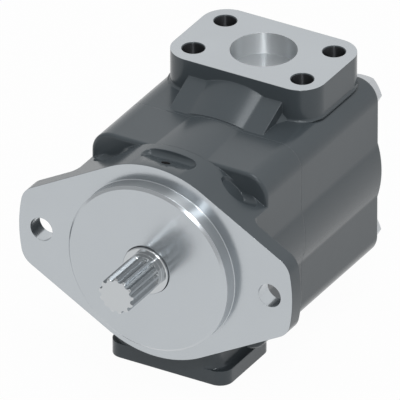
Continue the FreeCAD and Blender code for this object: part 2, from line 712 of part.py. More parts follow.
def cut_drain(body):
    """Sloped face at the top of the flange and the drain drilled from it."""
    back = cell("drain_back")
    floor = less(cell("flange_arc_radius"), cell("drain_depth"))
    tangent = f"tan({cell('drain_slope')})"
    front = cell("drain_front")
    front_floor = total(floor, f"({back} - {front}) * {tangent}")
    top = total(f"max({cell('flange_arc_radius')}; {cell('bulge_radius')})",
                cell("drain_hole_radius"))
    tool = new_body("drain_face", own_part=False)
    sketch = along(tool)
    outline(sketch, [(back, floor), (back, top), (front, top), (front, front_floor)])
    block = both_ways(tool, sketch, f"2 * {cell('drain_half_width')}")
    rear = value(back)
    names = edges_where(block.Shape, lambda e: is_line_along(e, Z_AXIS)
                        and abs(e.CenterOfMass.y - rear) < 0.01)
    block = dress(tool, "Fillet", block, names, cell("drain_corner"))
    names = edges_where(block.Shape, lambda e: is_line_along(e, X_AXIS)
                        and abs(e.CenterOfMass.y - rear) < 0.01
                        and e.CenterOfMass.z < value(floor) + 0.01)
    dress(tool, "Fillet", block, names, cell("drain_foot"))
    join(body, tool, "Cut")
    hole_floor = total(floor, f"({back} - {cell('drain_hole_y')}) * {tangent}")
    drill = body.newObject("PartDesign::SubtractiveCylinder", "pump_body_drain_hole")
    drill.setExpression("Radius", cell("drain_hole_radius"))
    depth = f"(({hole_floor} - {cell('shaft_hole_radius')}) / cos({cell('drain_slope')}))"
    drill.setExpression("Height", depth)
    drill.Placement.Rotation = FreeCAD.Rotation(X_AXIS, -value(cell("drain_slope")))
    drill.setExpression("Placement.Rotation.Angle", minus(cell("drain_slope")))
    drill.setExpression("Placement.Base.y",
                        less(cell("drain_hole_y"), f"{depth} * sin({cell('drain_slope')})"))
    drill.setExpression("Placement.Base.z",
                        less(hole_floor, f"{depth} * cos({cell('drain_slope')})"))
    doc.recompute()


def make_inlet_cover():
    """Cast cover: inlet port, its ramp and the hollow for the cartridge."""
    body = new_body("inlet_cover")
    block = square_section(body, SPLIT, less(REAR, SPLIT))
    rear = value(REAR)
    names = edges_where(block.Shape, lambda e: abs(e.BoundBox.YMin - rear) < 0.01)
    dress(body, "Fillet", block, names, cell("rear_fillet"))
    bulge = cell("bulge_radius")
    rounding = cell("rear_fillet")
    centre = (less(REAR, rounding), less(bulge, rounding))
    turn(body, [
        (SPLIT, "0"), (REAR, "0"), (REAR, centre[1]), (centre[0], bulge), (SPLIT, bulge),
    ], arcs={2: (rounding, centre, True)})
    add_inlet_pad(body)
    turn(body, [
        (SPLIT, "0"), (SPLIT, cell("cavity_radius")),
        (INLET_PLATE_END, cell("cavity_radius")), (INLET_PLATE_END, "0"),
    ], cut=True)
    ring(body, SPLIT, total(SPLIT, f"2 * {cell('gasket_section')}"),
         less(GASKET_RADIUS, GASKET_HALF), total(GASKET_RADIUS, GASKET_HALF), cut=True)
    offset = cell("cover_bolt_offset")
    sketch = across(body, SPLIT)
    hole_grid(body, sketch, offset, "0", offset, cell("cover_bolt_hole_radius"),
              less(REAR, SPLIT), True)
    return body


def add_inlet_pad(body):
    """Inlet pad with its bore, passage, tapped holes and ramp."""
    half = cell("inlet_pad_half_width")
    low = less(cell("inlet_centre"), cell("inlet_pad_half_depth"))
    high = total(cell("inlet_centre"), cell("inlet_pad_half_depth"))
    root = cell("cover_bolt_offset")
    sketch = new_sketch(body, "XY_Plane", root)
    rounded_box(sketch, minus(half), half, low, high, cell("inlet_pad_corner"))
    extrude(body, sketch, less(cell("port_face"), root), "Pad", False)

    flare(body, BODY_HALF, 1, cell("inlet_pad_fillet"), half, low, high,
          cell("inlet_pad_corner"), True)

    foot = less(BODY_HALF, cell("ramp_rise"))
    sketch = along(body)
    outline(sketch, [
        (cell("ramp_start"), foot), (cell("ramp_end"), foot),
        (cell("ramp_end"), total(BODY_HALF, cell("ramp_rise"))),
        (cell("ramp_start"), BODY_HALF),
    ])
    both_ways(body, sketch, f"2 * {cell('ramp_half_width')}")
    add_ramp_crown(body)

    sketch = new_sketch(body, "XY_Plane", cell("port_face"))
    circle(sketch, cell("inlet_bore_radius"), "0", cell("inlet_centre"))
    pocket(body, sketch, cell("inlet_bore_depth"), True)
    sketch = new_sketch(body, "XY_Plane", cell("port_face"))
    radius = cell("inlet_passage_radius")
    edge = less(cell("inlet_centre"), "1")
    centre = cell("inlet_centre")
    outline(sketch, [(minus(radius), edge), (radius, edge)],
            {0: (total(radius, "0.03"), ("0", centre), True)})
    pocket(body, sketch, less(cell("port_face"), f"{cell('cavity_radius')} / 2"), True)
    sketch = new_sketch(body, "XY_Plane", cell("port_face"))
    holes = hole_grid(body, sketch, f"{cell('inlet_pitch_across')} / 2", centre,
                      f"{cell('inlet_pitch_along')} / 2", cell("inlet_thread_radius"),
                      cell("inlet_thread_depth"), True)
    break_holes(body, holes, cell("port_face"), cell("inlet_thread_radius"))


def add_ramp_crown(body):
    """Round middle of the ramp, running up its slope."""
    run = less(cell("ramp_end"), cell("ramp_start"))
    slope = f"atan({cell('ramp_rise')} / ({run}))"
    half = cell("ramp_crown_half_width")
    rise = cell("ramp_crown_rise")
    radius = f"(({half} ^ 2 + {rise} ^ 2) / (2 * {rise}))"
    crown = body.newObject("PartDesign::AdditiveCylinder", "inlet_cover_crown")
    crown.setExpression("Radius", radius)
    crown.setExpression("Height", f"(({run}) / cos({slope}))")
    crown.Placement.Rotation = FreeCAD.Rotation(X_AXIS, -90)
    crown.setExpression("Placement.Rotation.Angle", f"{slope} - 90 deg")
    drop = f"({radius} - {rise})"
    crown.setExpression("Placement.Base.y", total(cell("ramp_start"), f"{drop} * sin({slope})"))
    crown.setExpression("Placement.Base.z", less(BODY_HALF, f"{drop} * cos({slope})"))
    doc.recompute()


def make_cover_bolts():
    """Hexagon head bolts that hold the cover to the body."""
    for number, (side, height) in enumerate([(-1, -1), (1, -1), (1, 1), (-1, 1)], start=1):
        body = new_body(f"cover_bolt_{number}")
        sketch = across(body, REAR)
        hexagon(sketch, cell("cover_bolt_flats"))
        head = pad(body, sketch, cell("cover_bolt_head"))
        top = value(total(REAR, cell("cover_bolt_head")))
        names = edges_where(head.Shape, lambda e: abs(e.BoundBox.YMin - top) < 0.01)
        dress(body, "Chamfer", head, names, cell("edge_break"))
        sketch = across(body, REAR)
        circle(sketch, cell("cover_bolt_radius"))
        length = total(less(REAR, SPLIT), cell("cover_bolt_grip"))
        pad(body, sketch, length, forward=False)
        body.setExpression("Placement.Base.x", f"{side} * {cell('cover_bolt_offset')}")
        body.setExpression("Placement.Base.z", f"{height} * {cell('cover_bolt_offset')}")


def hexagon(sketch, flats):
    """Hexagon with a given width across its flats."""
    radius = f"({flats} / (2 * cos(30)))"
    outline(sketch, [
        (f"{radius} * cos({60 * corner})", f"{radius} * sin({60 * corner})")
        for corner in range(6)
    ])


def torus(label, station, radius, section):
    """Round sealing ring or spring about the shaft's axis."""
    item = doc.addObject("Part::Torus", label)
    item.Label = label
    item.setExpression("Radius1", radius)
    item.setExpression("Radius2", section)
    item.Placement.Rotation = FreeCAD.Rotation(X_AXIS, -90)
    item.setExpression("Placement.Base.y", station)
    parts.append(item)


def spline(body, start, length, tip, root, tip_width, root_width, count):
    """Teeth around a shaft, each tapering from root to tip."""
    sketch = across(body, start)
    bed = less(root, cell("edge_break"))
    outline(sketch, [
        (f"-1 * {root_width} / 2", bed), (f"{root_width} / 2", bed),
        (f"{root_width} / 2", root), (f"{tip_width} / 2", tip),
        (f"-1 * {tip_width} / 2", tip), (f"-1 * {root_width} / 2", root),
    ])
    tooth = pad(body, sketch, length)
    return around(body, tooth, sketch, count)


def make_drive_shaft():
    """Shaft: drive spline, collar, bearing seat, rotor spline and rear journal."""
    body = new_body("drive_shaft")
    tip = minus(cell("spline_reach"))
    root = cell("spline_root_radius")
    outer = cell("spline_tip_radius")
    collar = minus(cell("collar_reach"))
    collar_radius = cell("collar_radius")
    collar_end = total(collar, cell("collar_length"))
    land = less(collar, cell("land_width"))
    main = cell("shaft_radius")
    bevel = cell("edge_break")
    groove_start = less(BEARING_START, cell("shaft_ring_width"))
    groove = less(main, cell("shaft_ring_depth"))
    shoulder_end = total(BEARING_END, cell("shoulder_width"))
    rotor_root = cell("rotor_spline_root")
    middle = cell("shaft_mid_radius")
    end = less(INLET_PLATE_END, cell("journal_gap"))
    journal = cell("journal_radius")
    turn(body, [
        (tip, "0"), (tip, root), (land, root), (land, outer), (collar, outer),
        (collar, less(collar_radius, bevel)), (total(collar, bevel), collar_radius),
        (collar_end, collar_radius), (collar_end, main),
        (groove_start, main), (groove_start, groove), (BEARING_START, groove),
        (BEARING_START, main), (BEARING_END, main),
        (BEARING_END, cell("shoulder_radius")), (shoulder_end, cell("shoulder_radius")),
        (shoulder_end, middle), (OUTLET_PLATE_END, middle), (OUTLET_PLATE_END, rotor_root),
        (CAM_END, rotor_root), (CAM_END, journal),
        (less(end, bevel), journal), (end, less(journal, bevel)), (end, "0"),
    ])
    spline(body, tip, less(land, tip), outer, root,
           cell("spline_tip_width"), cell("spline_root_width"), cell("spline_teeth"))
    lead_in = cell("spline_lead_in")
    turn(body, [
        (less(tip, lead_in), less(outer, f"2 * {lead_in}")), (total(tip, lead_in), outer),
        (total(tip, lead_in), total(outer, lead_in)), (less(tip, lead_in), total(outer, lead_in)),
    ], cut=True)
    width = cell("rotor_spline_width")
    spline(body, OUTLET_PLATE_END, less(CAM_END, OUTLET_PLATE_END), cell("rotor_spline_tip"),
           rotor_root, width, width, cell("rotor_spline_teeth"))


def make_shaft_seal():
    """Metal case, rubber lip and garter spring of the shaft seal."""
    wall = cell("seal_case_wall")
    outer = cell("seal_radius")
    inner = less(outer, wall)
    lip = total(cell("shaft_radius"), cell("running_clearance"))
    body = new_body("shaft_seal_case")
    hook = f"(({outer} + {lip}) / 2)"
    turn(body, [
        (SEAL_START, hook), (total(SEAL_START, wall), hook),
        (total(SEAL_START, wall), inner), (SEAL_END, inner),
        (SEAL_END, outer), (SEAL_START, outer),
    ])
    body = new_body("shaft_seal_lip")
    garter_seat = f"({lip} + 2 * {cell('garter_radius')} + {wall})"
    front = total(SEAL_START, wall)
    knee = total(front, wall)
    turn(body, [
        (SEAL_START, lip), (SEAL_END, lip), (SEAL_END, total(lip, wall)),
        (knee, garter_seat), (knee, inner), (front, inner), (front, hook), (SEAL_START, hook),
    ])
    coil = cell("garter_radius")
    centre = less(SEAL_END, coil)
    run = less(SEAL_END, knee)
    rise = less(garter_seat, total(lip, wall))
    clear = f"({coil} / cos(atan({rise} / {run})))"
    seat = total(lip, wall, f"({coil} * {rise} / {run})", clear)
    torus("garter_spring", centre, seat, coil)


def make_bearing():
    """Deep-groove ball bearing: two races, a cage and its balls."""
    pitch = cell("bearing_pitch_radius")
    track = total(cell("ball_radius"), cell("ball_clearance"))
    for label, inner, outer in (
        ("bearing_outer_race", cell("outer_race_radius"), cell("bearing_radius")),
        ("bearing_inner_race", cell("shaft_radius"), cell("inner_race_radius")),
    ):
        body = new_body(label)
        ring(body, BEARING_START, BEARING_END, inner, outer)
        sketch = along(body)
        circle(sketch, track, BEARING_MIDDLE, pitch)
        groove = body.newObject("PartDesign::Groove", f"{label}_track")
        groove.Profile = sketch
        groove.ReferenceAxis = (sketch, ["H_Axis"])
        groove.Angle = 360
        doc.recompute()
    cage = new_body("bearing_cage")
    half = f"({cell('cage_width')} / 2)"
    thin = f"({cell('cage_thickness')} / 2)"
    ring(cage, less(BEARING_MIDDLE, half), total(BEARING_MIDDLE, half),
         less(pitch, thin), total(pitch, thin))
    sketch = new_sketch(cage, "XY_Plane")
    circle(sketch, track, "0", BEARING_MIDDLE)
    window = pocket(cage, sketch, cell("bearing_radius"), False)
    axis = across(cage, "0")
    circle(axis, pitch)
    around(cage, window, axis, cell("ball_count"))
    for number in range(int(value(cell("ball_count")))):
        ball = doc.addObject("Part::Sphere", f"bearing_ball_{number + 1}")
        ball.Label = ball.Name
        ball.setExpression("Radius", cell("ball_radius"))
        angle = f"({number} * 360 / {cell('ball_count')})"
        ball.setExpression("Placement.Base.x", f"{pitch} * sin({angle})")
        ball.setExpression("Placement.Base.y", BEARING_MIDDLE)
        ball.setExpression("Placement.Base.z", f"{pitch} * cos({angle})")
        parts.append(ball)


def make_retaining_rings():
    """Open spring rings that hold the bearing on the shaft and in its pocket."""
    play = cell("fit_clearance")
    body = new_body("bearing_retaining_ring")
    ring(body, total(BEARING_END, play), less(HOUSING_RING_END, play),
         less(cell("bearing_radius"), cell("housing_ring_reach")),
         less(total(cell("bearing_radius"), cell("housing_ring_groove")), play), sweep=325)
    body = new_body("shaft_retaining_ring")
    ring(body, total(less(BEARING_START, cell("shaft_ring_width")), play),
         less(BEARING_START, play),
         total(less(cell("shaft_radius"), cell("shaft_ring_depth")), play),
         total(cell("shaft_radius"), cell("shaft_ring_height")), sweep=320)


def cut_ports(body, station, length, direction, outer):
    """Two opposite kidney ports through a plate."""
    for turned in (0, 180):
        sketch = across(body, station)
        sector(sketch, cell("port_inner_radius"), outer, total(direction, turned),
               cell("port_half_angle"))
        pocket(body, sketch, length)


def cut_pair(body, station, length, offset, radius, upright, forward=True):
    """Two opposite round holes, above and below the axis or beside it."""
    sketch = across(body, station)
    for side in SIDES:
        place = f"{side} * {offset}"
        circle(sketch, radius, "0" if upright else place, place if upright else "0")
    pocket(body, sketch, length, forward)


def cut_fixings(body, station, length):
    """Holes of the locating pins and screws right through a plate."""
    play = cell("fit_clearance")
    cut_pair(body, station, length, cell("dowel_offset"),
             total(cell("dowel_radius"), play), True)
    cut_pair(body, station, length, cell("screw_offset"),
             total(cell("screw_radius"), play), False)


def make_outlet_plate():
    """Support plate on the outlet side, with its hub, square seal and backup ring."""
    play = cell("fit_clearance")
    hub = less(cell("chamber_radius"), play)
    groove = less(hub, cell("hub_groove_depth"))
    groove_start = cell("hub_groove_start")
    seal_end = total(groove_start, cell("hub_seal_width"))
    groove_end = total(seal_end, cell("hub_backup_width"))
    body = new_body("outlet_support_plate")
    bore = cell("plate_bore_radius")
    rim = cell("cartridge_radius")
    turn(body, [
        (cell("hub_start"), bore), (OUTLET_PLATE_END, bore), (OUTLET_PLATE_END, rim),
        (SPLIT, rim), (SPLIT, hub), (groove_end, hub), (groove_end, groove),
        (groove_start, groove), (groove_start, hub), (cell("hub_start"), hub),
    ])
    cut_ports(body, cell("hub_start"), less(OUTLET_PLATE_END, cell("hub_start")),
              cell("outlet_port_angle"), cell("port_outer_radius"))
    depth = cell("dowel_seat")
    cut_pair(body, OUTLET_PLATE_END, depth, cell("dowel_offset"),
             total(cell("dowel_radius"), play), True, False)
    cut_pair(body, OUTLET_PLATE_END, depth, cell("screw_offset"),
             total(cell("screw_radius"), play), False, False)
    ring(new_body("outlet_plate_seal"), groove_start, seal_end, groove, hub)
    ring(new_body("outlet_plate_backup_ring"), seal_end, groove_end, groove, hub)


def make_side_plates():
    """Thin plates beside the rotor, with outlet kidneys and open inlet windows."""
    beyond = total(cell("cartridge_radius"), cell("side_plate_thickness"))
    for label, station in (("front_side_plate", OUTLET_PLATE_END), ("rear_side_plate", CAM_END)):
        thickness = cell("side_plate_thickness")
        body = new_body(label)
        ring(body, station, total(station, thickness), cell("plate_bore_radius"),
             cell("cartridge_radius"))
        cut_ports(body, station, thickness, cell("outlet_port_angle"), cell("port_outer_radius"))
        cut_ports(body, station, thickness, cell("inlet_port_angle"), beyond)
        cut_fixings(body, station, thickness)


def make_cam_ring():
    """Cam ring: round outside, oval track inside."""
    body = new_body("cam_ring")
    ring(body, CAM_START, CAM_END, less(cell("cam_minor_radius"), cell("side_plate_thickness")),
         cell("cartridge_radius"))
    sketch = across(body, CAM_START)
    oval(sketch, cell("cam_major_radius"), cell("cam_minor_radius"))
    pocket(body, sketch, cell("cam_width"))
    cut_fixings(body, CAM_START, cell("cam_width"))


def oval(sketch, major, minor):
    """Ellipse about the shaft's axis with its long axis sideways."""
    shape = Part.Ellipse(FreeCAD.Vector(0, 0, 0), value(major), value(minor))
    index = sketch.addGeometry(shape)
    sketch.addConstraint(Sketcher.Constraint("Coincident", index, 3, -1, 1))
    sketch.exposeInternalGeometry(index)
    long_axis = index + 1
    short_axis = index + 2
    sketch.addConstraint(Sketcher.Constraint("Horizontal", long_axis))
    bind(sketch, Sketcher.Constraint("Distance", long_axis, 2 * value(major)), f"2 * {major}")
    bind(sketch, Sketcher.Constraint("Distance", short_axis, 2 * value(minor)), f"2 * {minor}")


def vane_angle(number):
    return f"({cell('vane_first_angle')} + {number} * 360 / {VANE_COUNT})"


def make_rotor():
    """Rotor with a slot for each vane and a splined bore."""
    body = new_body("rotor")
    gap = cell("rotor_side_clearance")
    start = total(CAM_START, gap)
    length = less(cell("cam_width"), f"2 * {gap}")
    play = cell("rotor_spline_clearance")
    ring(body, start, total(start, length), total(cell("rotor_spline_root"), play),
         cell("rotor_radius"))
    sketch = across(body, start)
    half = f"(({cell('rotor_spline_width')} / 2) + {play})"
    outline(sketch, box_corners(minus(half), half, less(cell("rotor_spline_root"), play),
                                total(cell("rotor_spline_tip"), play)))
    around(body, pocket(body, sketch, length), sketch, cell("rotor_spline_teeth"))
    half = f"(({cell('vane_thickness')} / 2) + {cell('vane_clearance')})"
    sketch = across(body, start)
    beyond = total(cell("rotor_radius"), cell("vane_thickness"))
    angle = vane_angle(0)
    corners = box_corners(cell("slot_foot_radius"), beyond, minus(half), half)
    outline(sketch, [turned(x, z, angle) for x, z in corners])
    around(body, pocket(body, sketch, length), sketch, VANE_COUNT)


def turned(horizontal, vertical, angle):
    """A place turned about the shaft's axis by an angle."""
    return (
        f"(({horizontal}) * cos({angle}) - ({vertical}) * sin({angle}))",
        f"(({horizontal}) * sin({angle}) + ({vertical}) * cos({angle}))",
    )


def make_vanes():
    """Vanes with a round tip and a notched foot, and the insert in each notch."""
    half = f"({cell('vane_thickness')} / 2)"
    tip = cell("rotor_radius")
    rounding = cell("vane_tip_rounding")
    shoulder = total(tip, f"sqrt({rounding} ^ 2 - {half} ^ 2)", minus(rounding))
    foot = cell("vane_foot_radius")
    notch_half = f"({cell('insert_width')} / 2 + {cell('insert_clearance')})"
    notch_top = total(foot, cell("insert_height"), cell("insert_clearance"))
    for number in range(VANE_COUNT):
        body = new_body(f"vane_{number + 1}")
        sketch = across(body, VANE_START)
        outline(sketch, [
            (foot, minus(half)), (shoulder, minus(half)), (shoulder, half), (foot, half),
        ], {1: (rounding, (less(tip, rounding), "0"), True)})
        pad(body, sketch, VANE_LENGTH)
        sketch = across(body, less(CAM_MIDDLE, notch_half))
        outline(sketch, box_corners(less(foot, half), notch_top, minus(tip), tip))
        pocket(body, sketch, f"2 * {notch_half}")
        turn_about_shaft(body, vane_angle(number))
        insert = doc.addObject("Part::Box", f"vane_insert_{number + 1}")
        insert.Label = insert.Name
        insert.setExpression("Length", cell("insert_height"))
        insert.setExpression("Width", cell("insert_width"))
        insert.setExpression("Height", cell("vane_thickness"))
        place = turned(cell("vane_foot_radius"), minus(half), vane_angle(number))
        turn_about_shaft(insert, vane_angle(number))
        insert.setExpression("Placement.Base.x", place[0])
        insert.setExpression("Placement.Base.y", less(CAM_MIDDLE, f"{cell('insert_width')} / 2"))
        insert.setExpression("Placement.Base.z", place[1])
        parts.append(insert)


def turn_about_shaft(item, angle):
    """Turns an object about the shaft's axis, from +X towards +Z."""
    item.Placement.Rotation = FreeCAD.Rotation(FreeCAD.Vector(0, -1, 0), value(angle))
    item.setExpression("Placement.Rotation.Angle", angle)


def make_inlet_plate():
    """Support plate on the inlet side and the bushing for the shaft's rear journal."""
    body = new_body("inlet_support_plate")
    thickness = cell("inlet_plate_thickness")
    inset = cell("bushing_inset")
    journal = cell("journal_radius")
    play = cell("running_clearance")
    ring(body, INLET_PLATE_START, INLET_PLATE_END, cell("bushing_radius"),
         cell("cartridge_radius"))
    beyond = total(cell("cartridge_radius"), cell("side_plate_thickness"))
    cut_ports(body, INLET_PLATE_START, f"{thickness} * 0.7", cell("inlet_port_angle"), beyond)
    fit = cell("fit_clearance")
    cut_pair(body, INLET_PLATE_START, cell("dowel_seat"), cell("dowel_offset"),
             total(cell("dowel_radius"), fit), True)
    cut_pair(body, INLET_PLATE_START, thickness, cell("screw_offset"),
             total(cell("screw_radius"), fit), False)
    cut_pair(body, INLET_PLATE_END, total(cell("screw_head_height"), inset),
             cell("screw_offset"), total(cell("screw_head_radius"), fit), False, False)
    body = new_body("shaft_bushing")
    ring(body, total(INLET_PLATE_START, inset), less(INLET_PLATE_END, inset),
         total(journal, play), cell("bushing_radius"))


def make_cartridge_fixings():
    """Locating pins and socket screws that hold the cartridge together."""
    for name, side in (("upper", 1), ("lower", -1)):
        body = new_body(f"locating_pin_{name}")
        start = less(OUTLET_PLATE_END, cell("dowel_seat"))
        sketch = across(body, start)
        circle(sketch, cell("dowel_radius"))
        end = total(INLET_PLATE_START, cell("dowel_seat"))
        pad(body, sketch, less(end, start))
        body.setExpression("Placement.Base.z", f"{side} * {cell('dowel_offset')}")
    for name, side in (("left", -1), ("right", 1)):
        body = new_body(f"cartridge_screw_{name}")
        head_end = less(INLET_PLATE_END, cell("bushing_inset"))
        head_start = less(head_end, cell("screw_head_height"))
        start = less(OUTLET_PLATE_END, cell("dowel_seat"))
        sketch = across(body, start)
        circle(sketch, cell("screw_radius"))
        pad(body, sketch, less(head_start, start))
        sketch = across(body, head_start)
        circle(sketch, cell("screw_head_radius"))
        pad(body, sketch, cell("screw_head_height"))
        sketch = across(body, head_end)
        hexagon(sketch, cell("screw_socket_flats"))
        pocket(body, sketch, f"{cell('screw_head_height')} / 2", False)
        body.setExpression("Placement.Base.x", f"{side} * {cell('screw_offset')}")


def check_and_write():
    """Stops on any failed object, then writes one file for each sub-part."""
    for item in doc.Objects:
        if "Invalid" in item.State or "Error" in item.State:
            raise RuntimeError(f"{item.Name} failed: {item.State}")
    for part in parts:
        shape = part.Shape
        if shape.isNull() or not shape.isValid():
            raise RuntimeError(f"{part.Label} has a faulty shape")
        shape.exportStep(f"parts/{part.Label}.step")
        print(f"{part.Label}: {len(shape.Solids)} solid, {shape.Volume / 1000:.1f} cm3")


make_pump_body()
make_inlet_cover()
make_cover_bolts()
torus("cover_seal", total(SPLIT, cell("gasket_section")), GASKET_RADIUS,
      cell("gasket_section"))
make_drive_shaft()
make_shaft_seal()
make_bearing()
make_retaining_rings()
make_outlet_plate()
make_side_plates()
make_cam_ring()
make_rotor()
make_vanes()
make_inlet_plate()
make_cartridge_fixings()
doc.recompute()
check_and_write()
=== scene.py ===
# %% [markdown]
# # A hydraulic vane pump, dressed for the camera
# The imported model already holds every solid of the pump: two castings, four bolts, a splined
# shaft, and the bearing, seal and vane cartridge inside. This lesson keeps those shapes and
# gives them what a solid model lacks: welded and smoothly shaded castings, bolts with real
# heads and threads, a spring wound from wire, and a paint or metal finish for each piece.
# Everything is in metres. The shaft lies along Y and points towards -Y, and Z is up.

# %% Load the frame
import json
import math

import bmesh
import bpy
from mathutils import Matrix, Vector

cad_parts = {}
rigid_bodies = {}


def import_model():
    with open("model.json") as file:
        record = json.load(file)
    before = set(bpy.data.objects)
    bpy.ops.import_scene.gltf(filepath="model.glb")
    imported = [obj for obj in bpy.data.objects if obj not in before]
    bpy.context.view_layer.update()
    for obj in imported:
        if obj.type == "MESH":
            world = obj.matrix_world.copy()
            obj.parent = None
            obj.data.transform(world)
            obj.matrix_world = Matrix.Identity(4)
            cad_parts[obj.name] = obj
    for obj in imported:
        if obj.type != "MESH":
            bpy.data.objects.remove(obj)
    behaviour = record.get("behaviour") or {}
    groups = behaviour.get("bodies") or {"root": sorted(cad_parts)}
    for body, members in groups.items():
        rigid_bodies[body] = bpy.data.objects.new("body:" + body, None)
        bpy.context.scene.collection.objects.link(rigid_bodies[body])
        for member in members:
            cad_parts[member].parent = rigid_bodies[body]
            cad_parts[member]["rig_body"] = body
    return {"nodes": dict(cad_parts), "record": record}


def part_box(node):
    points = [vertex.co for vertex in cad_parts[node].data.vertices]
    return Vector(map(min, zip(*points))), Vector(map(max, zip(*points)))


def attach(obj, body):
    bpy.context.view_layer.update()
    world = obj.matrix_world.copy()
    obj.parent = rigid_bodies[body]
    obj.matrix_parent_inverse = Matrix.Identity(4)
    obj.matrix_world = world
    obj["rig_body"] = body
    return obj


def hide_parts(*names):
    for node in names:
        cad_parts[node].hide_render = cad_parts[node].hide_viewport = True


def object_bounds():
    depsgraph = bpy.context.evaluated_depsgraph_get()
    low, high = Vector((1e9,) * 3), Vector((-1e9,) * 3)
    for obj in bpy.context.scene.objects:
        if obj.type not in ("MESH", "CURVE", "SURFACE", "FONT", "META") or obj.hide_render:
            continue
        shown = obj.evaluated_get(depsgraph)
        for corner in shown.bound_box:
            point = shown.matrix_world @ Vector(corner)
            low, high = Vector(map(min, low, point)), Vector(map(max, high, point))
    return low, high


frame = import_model()
cad_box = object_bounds()
MM = 0.001

# %% [markdown]
# ## Small tools for node trees
# A material here is a handful of nodes round one Principled shader. Two helpers keep each of
# them readable: one adds a node and fills or links its inputs, the other starts a material.
# Whatever several finishes share, such as a cast skin or a tool's marks, becomes a node group
# with named inputs, so that each material only sets its own amounts. The sockets of a Mix
# node go by number: 0 is its factor, 2 and 3 are its floats, and 6 and 7 its colours.


# %% Node helpers
def add_node(tree, kind, inputs=None, **settings):
    """Adds a node, sets its options, and fills or links its inputs."""
    node = tree.nodes.new(kind)
    for key, setting in settings.items():
        setattr(node, key, setting)
    for socket, given in (inputs or {}).items():
        if isinstance(given, bpy.types.NodeSocket):
            tree.links.new(given, node.inputs[socket])
        else:
            node.inputs[socket].default_value = given
    return node


def new_group(name, inputs, outputs):
    """Starts a node group with float and vector sockets."""
    group = bpy.data.node_groups.new(name, "ShaderNodeTree")
    for socket, (kind, default) in inputs.items():
        made = group.interface.new_socket(socket, in_out="INPUT", socket_type=kind)
        if default is not None:
            made.default_value = default
    for socket, kind in outputs.items():
        group.interface.new_socket(socket, in_out="OUTPUT", socket_type=kind)
    return group, group.nodes.new("NodeGroupInput"), group.nodes.new("NodeGroupOutput")


FLOAT, VECTOR = "NodeSocketFloat", "NodeSocketVector"

# %% [markdown]
# ## Shared surface effects
# **Cast skin**: sand leaves a soft lumpy surface under the paint. Two noises, one as wide as a
# finger and one as fine as the sand, give a height and a slow change of tone.
# **Tool marks**: a lathe leaves fine rings round its axis, and a wave texture in rings does
# the same once a Mapping node has laid its axis along the piece's own.
# ** Soft edges**: nothing machined or cast has a knife edge. The Bevel node rounds the normal
# at every corner, and where it differs from the true normal it marks the edges, hollow ones too.


# %% Cast skin group
def make_cast_skin():
    """Height and tone of a sand-cast surface."""
    group, given, out = new_group(
        "cast skin", {"Vector": (VECTOR, None), "Grain": (FLOAT, 900.0), "Lumps": (FLOAT, 60.0)},
        {"Height": FLOAT, "Tone": FLOAT})
    lumps = add_node(group, "ShaderNodeTexNoise", {
        "Vector": given.outputs["Vector"], "Scale": given.outputs["Lumps"], "Detail": 3.0})
    grain = add_node(group, "ShaderNodeTexNoise", {
        "Vector": given.outputs["Vector"], "Scale": given.outputs["Grain"], "Detail": 4.0,
        "Roughness": 0.6})
    height = add_node(group, "ShaderNodeMix", {
        0: 0.35, 2: lumps.outputs["Fac"], 3: grain.outputs["Fac"]})
    group.links.new(height.outputs[0], out.inputs["Height"])
    group.links.new(lumps.outputs["Fac"], out.inputs["Tone"])
    return group


cast_skin = make_cast_skin()
print("cast skin nodes:", len(cast_skin.nodes))


# %% Tool marks group
def make_tool_marks():
    """Fine rings round the Z axis of the vector, and patchy shine between them."""
    group, given, out = new_group(
        "tool marks",
        {"Vector": (VECTOR, None), "Feed": (FLOAT, 400.0), "Patches": (FLOAT, 35.0)},
        {"Height": FLOAT, "Shine": FLOAT})
    rings = add_node(group, "ShaderNodeTexWave", {
        "Vector": given.outputs["Vector"], "Scale": given.outputs["Feed"], "Distortion": 0.6,
        "Detail": 2.0, "Detail Scale": 0.05}, wave_type="RINGS", rings_direction="Z")
    patches = add_node(group, "ShaderNodeTexNoise", {
        "Vector": given.outputs["Vector"], "Scale": given.outputs["Patches"], "Detail": 3.0})
    group.links.new(rings.outputs["Fac"], out.inputs["Height"])
    group.links.new(patches.outputs["Fac"], out.inputs["Shine"])
    return group


tool_marks = make_tool_marks()
print("tool marks nodes:", len(tool_marks.nodes))


# %% Soft edges group
def make_soft_edges():
    """Normal rounded at the corners, and a mask of the edges that stand out."""
    group, given, out = new_group(
        "soft edges", {"Radius": (FLOAT, 0.0005), "Strength": (FLOAT, 3.0)},
        {"Normal": VECTOR, "Edge": FLOAT})
    rounded = add_node(group, "ShaderNodeBevel", {"Radius": given.outputs["Radius"]}, samples=6)
    geometry = add_node(group, "ShaderNodeNewGeometry")
    same = add_node(group, "ShaderNodeVectorMath", {
        0: rounded.outputs["Normal"], 1: geometry.outputs["Normal"]}, operation="DOT_PRODUCT")
    apart = add_node(group, "ShaderNodeMath", {0: 1.0, 1: same.outputs["Value"]},
                     operation="SUBTRACT")
    edge = add_node(group, "ShaderNodeMath", {0: apart.outputs[0], 1: given.outputs["Strength"]},
                    operation="MULTIPLY", use_clamp=True)
    group.links.new(rounded.outputs["Normal"], out.inputs["Normal"])
    group.links.new(edge.outputs[0], out.inputs["Edge"])
    return group


soft_edges = make_soft_edges()
print("soft edges nodes:", len(soft_edges.nodes))

# %% [markdown]
# ## Finishes
# Two recipes cover the whole pump. **Coated**: a dull or satin skin, such as paint, rubber or
# plastic, whose tone drifts a little and whose edges show slightly lighter. **Bare metal**: a
# fully metallic shader whose roughness wanders between two values and whose tool marks raise
# a faint bump. The amounts are small on purpose, because a new pump is clean and smooth.
# A wall that was turned or bored mirrors a lamp as a long streak across its marks, and
# there the shader is anisotropic, with its tangent along the streak.


